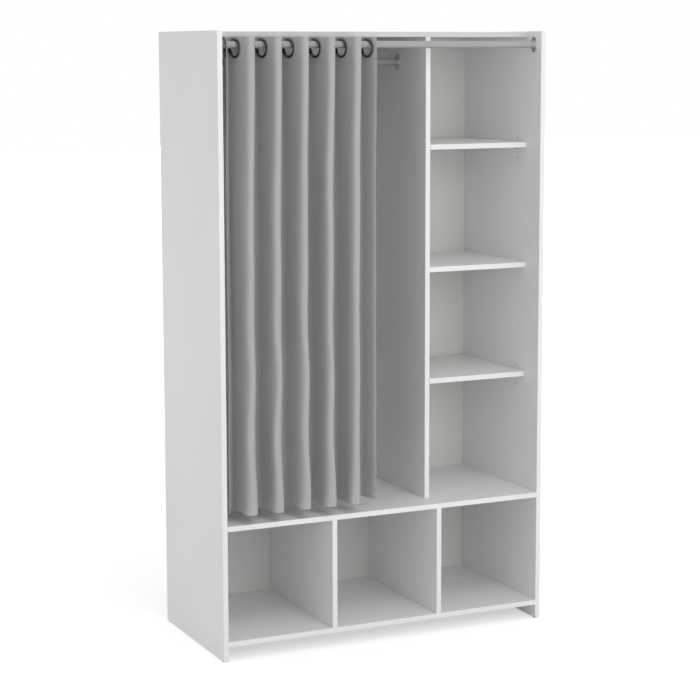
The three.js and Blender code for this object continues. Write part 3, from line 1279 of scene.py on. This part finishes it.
def open_holes(panel, p):
    """Takes away the cloth inside the eyelets, and draws the edge of each hole to a circle."""
    sheet = bmesh.new()
    sheet.from_mesh(panel.data)
    for middle in eyelet_middles[p - 1 : p + 1]:
        inside = [f for f in sheet.faces if (f.calc_center_median() - middle).length < hole_size]
        bmesh.ops.delete(sheet, geom=inside, context="FACES")
        for vertex in sheet.verts:
            away = vertex.co - middle
            if away.length < hole_size:
                vertex.co = middle + away.normalized() * hole_size
    sheet.to_mesh(panel.data)
    sheet.free()


def mark_hems(panel, total_width):
    """A group of the points where the cloth is folded over itself."""
    group = panel.vertex_groups.new(name="hems")
    layer = panel.data.uv_layers.active.data
    for loop in panel.data.loops:
        u, v = layer[loop.index].uv
        at_side = u < side_hem or u > total_width - side_hem
        at_end = v < hem_depth - seam_step / 2 or v > cloth_height - heading_depth - seam_step / 2
        if at_side or at_end:
            group.add([loop.vertex_index], 1.0, "REPLACE")
    return group.name


cloth_grey = (0.440, 0.440, 0.450, 1.0)
cloth_dark = (0.395, 0.395, 0.405, 1.0)
cloth_light = (0.480, 0.480, 0.490, 1.0)
thread_pitch = 0.00085
weave_depth = 0.00018
slub_scale = 260.0
slub_run = 9.0
slub_share = 0.75
tone_edges = (0.25, 0.75)
patch_scale = 5.0
patch_edges = (0.3, 0.7)
patch_share = 0.6
stitch_length = 0.0032
stitch_share = 0.68
stitch_width = 0.0004
stitch_sink = 0.0018
stitch_relief = 1.5
groove_width = 0.0036
# How far painted shade darkens the cloth in the groove round the stitches.
groove_painted_shade = 0.35
pucker_scale = 130.0
cloth_roughness = (0.86, 0.94)
sheen_weight = 0.25
sheen_roughness = 0.5


def stitches(first_line, second_line, run):
    """Two rows of stitches, each given by the distance from it: the thread and the groove round it."""
    near = first_line.size().smaller(second_line.size())
    thread = 1 - near.step(stitch_width, stitch_width * 2)
    thread_end = stitch_length * stitch_share
    dash = 1 - run.within(stitch_length).step(thread_end, thread_end + stitch_width)
    groove = 1 - near.step(stitch_width * 2, groove_width)
    return thread * dash, groove


def woven_cloth(total_width):
    finish = Finish("curtain_fabric")
    pattern = finish.cloth_place()
    across, up, _ = finish.parts(pattern)
    turn = 2 * math.pi / thread_pitch
    weave = ((across * turn).wave() * (up * turn).wave() + 1) / 2
    warp_slub = finish.streaks(pattern, (slub_scale, slub_run, 1.0), grain_detail)
    weft_slub = finish.streaks(pattern, (slub_run, slub_scale, 1.0), grain_detail)
    slub = (warp_slub + weft_slub) / 2
    patches = finish.noise(pattern, patch_scale, grain_detail)

    low_row = hem_depth - stitch_sink
    high_row = cloth_height - heading_depth + stitch_sink
    left_row = side_hem - stitch_sink
    right_row = total_width - side_hem + stitch_sink
    level_thread, level_groove = stitches(up - low_row, up - high_row, across)
    upright_thread, upright_groove = stitches(across - left_row, across - right_row, up)
    thread = level_thread.larger(upright_thread)
    groove = level_groove.larger(upright_groove)
    pucker = finish.noise(pattern, pucker_scale) * groove

    tone = slub * slub_share + weave * (1 - slub_share)
    colour = finish.mix(cloth_dark, cloth_light, tone.step(*tone_edges))
    colour = finish.mix(colour, cloth_grey, patches.step(*patch_edges) * patch_share)
    # Painted shade: the cloth darkens in the groove round the stitches, where the bump also sinks it.
    colour = finish.mix(colour, cloth_dark, groove * groove_painted_shade)
    colour = finish.mix(colour, cloth_light, thread)
    height = (weave + slub) / 2 + thread * stitch_relief - groove + pucker
    return finish.surface(
        Base_Color=colour,
        Roughness=weave.between(cloth_roughness),
        Normal=finish.bump(height, weave_depth),
        Sheen_Weight=sheen_weight,
        Sheen_Roughness=sheen_roughness,
    )


cloth_angle = math.radians(60)
panels = []
cloth_width = 0.0
for p in range(1, eyelet_count):
    panel, width = add_panel(p, cloth_width)
    panels.append((panel, width))
    cloth_width += width
cloth_finish = woven_cloth(cloth_width)
for p, (panel, width) in enumerate(panels, start=1):
    open_holes(panel, p)
    body = panel.modifiers.new("thickness", "SOLIDIFY")
    body.vertex_group = mark_hems(panel, cloth_width)
    body.thickness_vertex_group = cloth_thickness / hem_thickness
    body.thickness = hem_thickness
    body.offset = 0.0
    apply_all(panel)
    panel.data.materials.append(cloth_finish)
    bpy.ops.object.shade_smooth_by_angle(angle=cloth_angle)
    aside = Vector((crest_radius[crest_side(p)], 0, 0))
    f"fold_{p + 1}"
    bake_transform(panel)
    first_fold = p if p == 1 else p + 1
    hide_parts(*[f"curtain_fold_{i}" for i in range(first_fold, p + 2)])
    held_by = [f"eyelet_ring_{i}" for i in (p, p + 1)]
